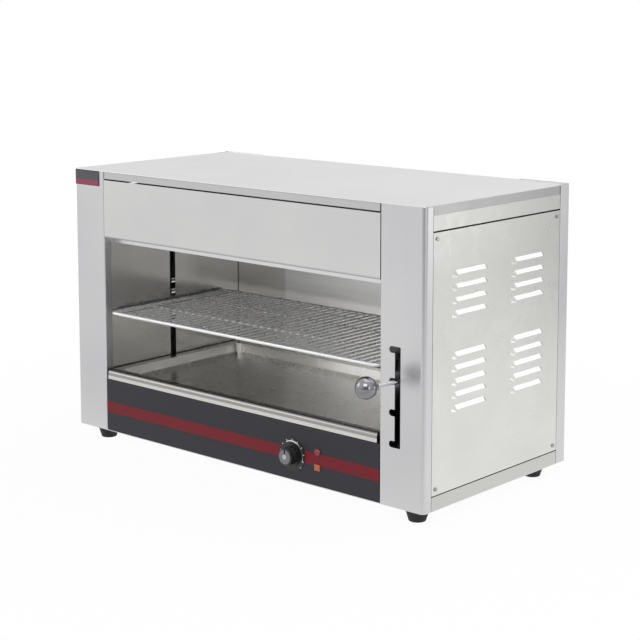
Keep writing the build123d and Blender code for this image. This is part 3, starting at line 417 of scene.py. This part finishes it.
def flat_arc(bm, place, inner, outer, start, sweep, thickness, lean=0.0):
    """A flat arc, clockwise from the top of the place: an edge spun, given its thickness. It makes the dial's
    painted highlight and the knob's grey face ring.

    Lean moves the inner rim away from the middle of the arc, so that the arc tapers to its ends.
    """
    ends = [bm.verts.new((0.0, 0.0, radius)) for radius in (inner, outer)]
    edge = bm.edges.new(ends)
    bmesh.ops.spin(bm, geom=ends + [edge], cent=(0, 0, 0), axis=(0, 1, 0), angle=sweep, steps=ARC_STEPS,
                   use_merge=False, use_duplicate=False)
    raised = bmesh.ops.extrude_face_region(bm, geom=bm.faces[:])["geom"]
    bmesh.ops.translate(bm, vec=(0.0, -thickness, 0.0),
                        verts=[part for part in raised if isinstance(part, bmesh.types.BMVert)])
    middle = (inner + outer) / 2
    inside = [point for point in bm.verts if Vector((point.co.x, point.co.z)).length < middle]
    away = Matrix.Rotation(sweep / 2, 3, "Y") @ Vector((0.0, 0.0, -lean))
    bmesh.ops.translate(bm, vec=away, verts=inside)
    bmesh.ops.transform(bm, matrix=place @ Matrix.Rotation(start, 4, "Y"), verts=bm.verts)


# ---------------------------------------------------------------- settings
class MelterSizes(bpy.types.PropertyGroup):
    """Sizes of the small trim that is added to the frame."""

    band_low: FloatProperty(name="Badge band foot", description="Bare rim under the badge's lower band",
                            default=1.2 * MM, unit="LENGTH")
    band_height: FloatProperty(name="Badge band height", description="Height of the badge's lower band",
                               default=7.8 * MM, unit="LENGTH")
    print_step: FloatProperty(name="Print step", description="How far a print or tick stands off its plate",
                              default=0.12 * MM, unit="LENGTH")
    tick_length: FloatProperty(name="Tick length", description="Length of a mark on the dial",
                               default=2.6 * MM, unit="LENGTH")
    tick_width: FloatProperty(name="Tick width", description="Width of a mark on the dial",
                              default=1.0 * MM, unit="LENGTH")
    tick_count: IntProperty(name="Ticks", description="Marks round the dial", default=11, min=2)
    # the arc settings shape a painted highlight: a bright crescent on the dial, widest in its middle
    arc_radius: FloatProperty(name="Arc radius", description="Outer radius of the bright arc on the dial",
                              default=22.6 * MM, unit="LENGTH")
    arc_width: FloatProperty(name="Arc width", description="Width of the arc at its ends", default=0.6 * MM,
                             unit="LENGTH")
    arc_lean: FloatProperty(name="Arc lean", description="How much wider the arc is in its middle",
                            default=1.6 * MM, unit="LENGTH")
    arc_start: FloatProperty(name="Arc start", description="Where the arc begins, clockwise from the top",
                             default=radians(-32), subtype="ANGLE")
    arc_sweep: FloatProperty(name="Arc sweep", description="How far round the arc runs",
                             default=radians(140), subtype="ANGLE")
    # the knob's face ring is drawn grey
    face_radius: FloatProperty(name="Knob face radius", description="Radius of the worn ring on the knob",
                               default=11.3 * MM, unit="LENGTH")


class MelterStudio(bpy.types.PropertyGroup):
    """The studio round the melter."""

    lens: FloatProperty(name="Lens", description="Focal length on a 36 mm sensor", default=91.1161,
                        unit="CAMERA")
    shift: FloatProperty(name="Shift", description="Upward shift of the lens, in image widths", default=-0.2)
    place: FloatVectorProperty(name="Camera place", description="Where the camera stands",
                               default=(1.76415, -1.9363, 0.77065), unit="LENGTH")
    turn: FloatProperty(name="Camera turn", description="Turn about the upright", default=radians(41.6058),
                        subtype="ANGLE")
    dip: FloatProperty(name="Camera dip", description="Tilt below level", default=radians(7.1735),
                       subtype="ANGLE")
    floor_colour: FloatVectorProperty(name="Floor colour", description="Pale floor", size=4, min=0, max=1,
                                      default=linear("#f4f4f4"), subtype="COLOR")


# ---------------------------------------------------------------- operators
class MELTER_OT_casing(bpy.types.Operator):
    """Brushes the casing sheets and colours the fascia and its stripe"""

    bl_idname = "melter.casing"
    bl_label = "Casing sheets"

    def execute(self, context):
        finish_nodes("stainless along", "stainless lid", "stainless header", "stainless upright",
                     "stainless depth", "charcoal", "red print", "screw", "rubber", "nylon")
        return {"FINISHED"}


class MELTER_OT_cavity(bpy.types.Operator):
    """Finishes the cavity, the elements, the tray and the rack's lift"""

    bl_idname = "melter.cavity"
    bl_label = "Cavity and lift"

    def execute(self, context):
        finish_nodes("liner", "liner back", "tray", "chrome", "zinc", "element", "steatite", "regulator")
        return {"FINISHED"}


class MELTER_OT_badge(bpy.types.Operator):
    """Prints the bare badge plate: a dark border and a crimson band along its foot"""

    bl_idname = "melter.badge"
    bl_label = "Badge print"

    def execute(self, context):
        finish_nodes("badge")
        sizes = context.scene.melter_sizes
        low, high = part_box("badge_plate")
        step, rim = sizes.print_step, sizes.band_low
        band = bmesh.new()
        box_of(band, (low.x + rim, low.y - step, low.z + rim),
               (high.x - rim, low.y, low.z + rim + sizes.band_height))
        new_piece("badge_band", band, "badge red", "cabinet")
        border = bmesh.new()
        for corners in (((low.x, low.z), (high.x, low.z + rim)), ((low.x, high.z - rim), (high.x, high.z)),
                        ((low.x, low.z + rim), (low.x + rim, high.z - rim)),
                        ((high.x - rim, low.z + rim), (high.x, high.z - rim))):
            (x0, z0), (x1, z1) = corners
            box_of(border, (x0, low.y - step, z0), (x1, low.y, z1))
        new_piece("badge_border", border, "badge border", "cabinet")
        return {"FINISHED"}


class MELTER_OT_controls(bpy.types.Operator):
    """Dresses the dial with its marks and a painted highlight arc, the knob with its grey face ring, its cap
    and the two pilot lenses
    """

    bl_idname = "melter.controls"
    bl_label = "Controls"

    def execute(self, context):
        finish_nodes("phenolic", "cap", "amber", "red")
        sizes = context.scene.melter_sizes
        low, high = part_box("dial_plate")
        centre = (low + high) / 2
        dial = Matrix.Translation((centre.x, low.y, centre.z))
        rim = (high.x - low.x) / 2 - MM / 2
        half = sizes.tick_width / 2
        marks = bmesh.new()
        for i in range(sizes.tick_count):
            angle = radians(-DIAL_SWEEP / 2) + i * radians(DIAL_SWEEP) / (sizes.tick_count - 1)
            tick = box_of(marks, (-half, -sizes.print_step, rim - sizes.tick_length), (half, 0.0, rim))
            bmesh.ops.transform(marks, matrix=dial @ Matrix.Rotation(angle, 4, "Y"), verts=tick)
        new_piece("dial_marks", marks, "dial marks", "cabinet")
        # painted highlight: a bright crescent of the rod's plating on the dial, widest in its middle, where a
        # rounded rim would catch the light
        arc = bmesh.new()
        flat_arc(arc, dial, sizes.arc_radius - sizes.arc_width, sizes.arc_radius, sizes.arc_start,
                    sizes.arc_sweep, sizes.print_step, sizes.arc_lean)
        new_piece("dial_painted_highlight", arc, "rod", "cabinet")
        # the grey ring on the knob's face stops short of the pointer's groove at the top
        cap_low, cap_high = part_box("knob_cap")
        front = Matrix.Translation((centre.x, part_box("control_knob")[0].y, centre.z))
        face = bmesh.new()
        flat_arc(face, front, (cap_high.x - cap_low.x) / 2 + 0.2 * MM, sizes.face_radius, radians(10),
                    radians(340), sizes.print_step)
        new_piece("knob_face", face, "knob face", "knob")
        return {"FINISHED"}


class MELTER_OT_lever(bpy.types.Operator):
    """Finishes the lever's rod and its polished ball"""

    bl_idname = "melter.lever"
    bl_label = "Lever ball"

    def execute(self, context):
        finish_nodes("ball", "rod")
        return {"FINISHED"}


FLOOR_REACH = 12.0

# each softbox: name, place, the point it looks at, its width and height in metres, and its power in watts
SOFTBOXES = (
    ("key", (1.6, -2.6, 2.6), (0.0, 0.0, 0.25), (2.2, 1.6), 26.0),
    ("fill", (-2.6, -2.2, 1.6), (0.0, 0.0, 0.2), (1.8, 1.8), 14.0),
    ("top", (0.2, 0.4, 3.0), (0.0, 0.0, 0.4), (2.4, 2.4), 16.0),
    ("side", (1.7, 1.2, 0.25), (0.38, -0.1, 0.1), (0.8, 0.5), 1.5),
    ("louvres", (1.15, 2.2, 2.1), (0.38, 0.05, 0.25), (1.7, 1.7), 11.0),
    ("edge", (2.4, -0.9, 0.55), (0.38, -0.15, 0.25), (0.5, 1.1), 3.0),
)


class MELTER_OT_stage(bpy.types.Operator):
    """Sets up the pale floor, the soft light and the camera"""

    bl_idname = "melter.stage"
    bl_label = "Studio"

    def execute(self, context):
        scene = context.scene
        studio = scene.melter_studio
        floor_mesh = bmesh.new()
        bmesh.ops.create_grid(floor_mesh, x_segments=1, y_segments=1, size=FLOOR_REACH)
        mesh = bpy.data.meshes.new("studio_floor")
        floor_mesh.to_mesh(mesh)
        floor_mesh.free()
        floor = bpy.data.objects.new("studio_floor", mesh)
        scene.collection.objects.link(floor)
        mesh.materials.append(floor_material(studio.floor_colour))
        world_light(scene)
        for softbox in SOFTBOXES:
            area_light(scene, *softbox)
        lens = bpy.data.cameras.new("camera")
        lens.lens = studio.lens
        lens.sensor_width = SENSOR_WIDTH
        lens.shift_y = studio.shift
        lens.clip_start, lens.clip_end = 0.05, 60.0
        camera = bpy.data.objects.new("camera", lens)
        camera.location = studio.place
        camera.rotation_euler = (pi / 2 - studio.dip, 0.0, studio.turn)
        scene.collection.objects.link(camera)
        scene.camera = camera
        scene.view_settings.view_transform = "Standard"
        return {"FINISHED"}


def fade_along(tree, vector, direction, start, end, near, far):
    """A value that changes from near to far between two distances along a direction."""
    along = add_node(tree, "ShaderNodeVectorMath", {"operation": "DOT_PRODUCT"}, {1: direction}, {0: vector})
    return add_node(tree, "ShaderNodeMapRange", {"interpolation_type": "SMOOTHSTEP"},
                    {"From Min": start, "From Max": end, "To Min": near, "To Max": far},
                    {"Value": along.outputs["Value"]}).outputs["Result"]


def times(tree, first, second):
    """The product of two values."""
    return add_node(tree, "ShaderNodeMath", {"operation": "MULTIPLY"}, None, {0: first, 1: second}).outputs[0]


def room_tone(tree, vector, reach):
    """How bright the room looks in a mirror: dimmer at the front right, the far left and the back right.

    The front right is where the photograph was taken from. All three directions are fixed in the room, and stay
    where they are in other views.
    """
    front_right = fade_along(tree, vector, (0.67, -0.74, 0.0), 0.6 * reach, 0.98 * reach, 1.0, 0.38)
    far_left = fade_along(tree, vector, (-1.0, 0.0, 0.0), 0.3 * reach, reach, 1.0, 0.88)
    back_right = fade_along(tree, vector, (0.6, 0.8, 0.0), 0.5 * reach, reach, 1.0, 0.58)
    return times(tree, times(tree, front_right, far_left), back_right)


def near_floor_tone(tree, vector):
    """How bright the paper looks in a mirror near the melter: in its shade in front, bright beside it."""
    place = add_node(tree, "ShaderNodeSeparateXYZ", links={"Vector": vector})
    depth = range_between(tree, place.outputs["Y"], 0.0, 1.0, -1.5, 1.0)
    far_tone = (0.95, 0.95, 0.95, 1.0)
    ramp = ramp_between(tree, depth.outputs["Result"], far_tone, far_tone)
    for position, tone in ((0.16, 1.0), (0.42, 0.78), (0.6, 1.0)):
        stop = ramp.color_ramp.elements.new(position)
        stop.color = (tone, tone, tone, 1.0)
    return ramp.outputs["Color"]


def floor_material(colour):
    """Seamless paper: white to the eye, with the melter's shadow on it."""
    material, tree = blank_material("seamless white paper")
    rays = add_node(tree, "ShaderNodeLightPath")
    place = add_node(tree, "ShaderNodeTexCoord")
    grain = object_pattern(tree, (900.0, 900.0, 900.0), values={"Detail": 2.0})
    tone = ramp_between(tree, grain.outputs["Fac"], linear("#f0f0f0"), tuple(colour))
    paper = add_node(tree, "ShaderNodeBsdfDiffuse", None, None, {"Color": tone.outputs["Color"]})
    glow = add_node(tree, "ShaderNodeEmission", None, {"Color": WHITE, "Strength": 1.0})
    distance = add_node(tree, "ShaderNodeVectorMath", {"operation": "LENGTH"}, None,
                        {0: place.outputs["Object"]})
    # near the melter a twentieth of what is seen is the paper's own shading, which keeps a faint shadow
    share = range_between(tree, distance.outputs["Value"], 0.95, 1.0, 0.5, 1.2)
    seen = add_node(tree, "ShaderNodeMixShader", None, None,
                    {"Fac": share.outputs["Result"], 1: paper.outputs["BSDF"], 2: glow.outputs["Emission"]})
    mirrored = add_node(tree, "ShaderNodeEmission", None, {"Color": WHITE},
                        {"Strength": times(tree, room_tone(tree, place.outputs["Object"], 2.0),
                                          near_floor_tone(tree, place.outputs["Object"]))})
    direct = add_node(tree, "ShaderNodeMath", {"operation": "MAXIMUM"}, None,
                      {0: rays.outputs["Is Camera Ray"], 1: rays.outputs["Is Transmission Ray"]})
    first = add_node(tree, "ShaderNodeMixShader", None, None,
                     {"Fac": direct.outputs[0], 1: paper.outputs["BSDF"], 2: seen.outputs["Shader"]})
    both = add_node(tree, "ShaderNodeMixShader", None, None,
                    {"Fac": rays.outputs["Is Glossy Ray"], 1: first.outputs["Shader"],
                     2: mirrored.outputs["Emission"]})
    close_material(tree, both.outputs["Shader"])
    return material


def world_light(scene):
    """A white room: full white where it is seen, toned where it is mirrored, softer as light."""
    world = bpy.data.worlds.new("studio")
    scene.world = world
    world.use_nodes = True
    tree = world.node_tree
    tree.nodes.clear()
    rays = add_node(tree, "ShaderNodeLightPath")
    place = add_node(tree, "ShaderNodeTexCoord")
    direct = add_node(tree, "ShaderNodeMath", {"operation": "MAXIMUM"}, None,
                      {0: rays.outputs["Is Camera Ray"], 1: rays.outputs["Is Transmission Ray"]})
    soft = add_node(tree, "ShaderNodeBackground", None, {"Color": WHITE, "Strength": 0.6})
    bright = add_node(tree, "ShaderNodeBackground", None, {"Color": WHITE, "Strength": 1.0})
    toned = add_node(tree, "ShaderNodeBackground", None, {"Color": WHITE},
                     {"Strength": room_tone(tree, place.outputs["Generated"], 1.0)})
    first = add_node(tree, "ShaderNodeMixShader", None, None,
                     {"Fac": direct.outputs[0], 1: soft.outputs["Background"], 2: bright.outputs["Background"]})
    both = add_node(tree, "ShaderNodeMixShader", None, None,
                    {"Fac": rays.outputs["Is Glossy Ray"], 1: first.outputs["Shader"],
                     2: toned.outputs["Background"]})
    add_node(tree, "ShaderNodeOutputWorld", links={"Surface": both.outputs["Shader"]})


def area_light(scene, name, place, target, size, power):
    """A softbox that looks at a point."""
    lamp = bpy.data.lights.new(name, "AREA")
    lamp.shape = "RECTANGLE"
    lamp.size, lamp.size_y = size
    lamp.energy = power
    box = bpy.data.objects.new(name, lamp)
    box.location = place
    box.rotation_euler = (Vector(target) - Vector(place)).to_track_quat("-Z", "Y").to_euler()
    box.visible_camera = False
    scene.collection.objects.link(box)


PIECE_OPERATORS = (
    MELTER_OT_casing,
    MELTER_OT_cavity,
    MELTER_OT_badge,
    MELTER_OT_controls,
    MELTER_OT_lever,
    MELTER_OT_stage,
)


class MELTER_PT_sidebar(bpy.types.Panel):
    """Lists the melter's pieces and the studio"""

    bl_idname = "MELTER_PT_sidebar"
    bl_label = "Cheese melter"
    bl_space_type = "VIEW_3D"
    bl_region_type = "UI"
    bl_category = "Melter"

    def draw(self, context):
        for operator in PIECE_OPERATORS:
            self.layout.operator(operator.bl_idname)
        for group in (context.scene.melter_sizes, context.scene.melter_studio):
            for name in group.__annotations__:
                self.layout.prop(group, name)


CLASSES = (MelterSizes, MelterStudio) + PIECE_OPERATORS + (MELTER_PT_sidebar,)


def register():
    for cls in CLASSES:
        bpy.utils.register_class(cls)
    bpy.types.Scene.melter_sizes = PointerProperty(type=MelterSizes)
    bpy.types.Scene.melter_studio = PointerProperty(type=MelterStudio)


def unregister():
    del bpy.types.Scene.melter_studio
    del bpy.types.Scene.melter_sizes
    for cls in reversed(CLASSES):
        bpy.utils.unregister_class(cls)


def main():
    register()
    FINISH.update(make_finishes())
    bpy.ops.melter.casing()
    bpy.ops.melter.cavity()
    bpy.ops.melter.badge()
    bpy.ops.melter.controls()
    bpy.ops.melter.lever()
    bpy.ops.melter.stage()


if __name__ == "__main__":
    main()
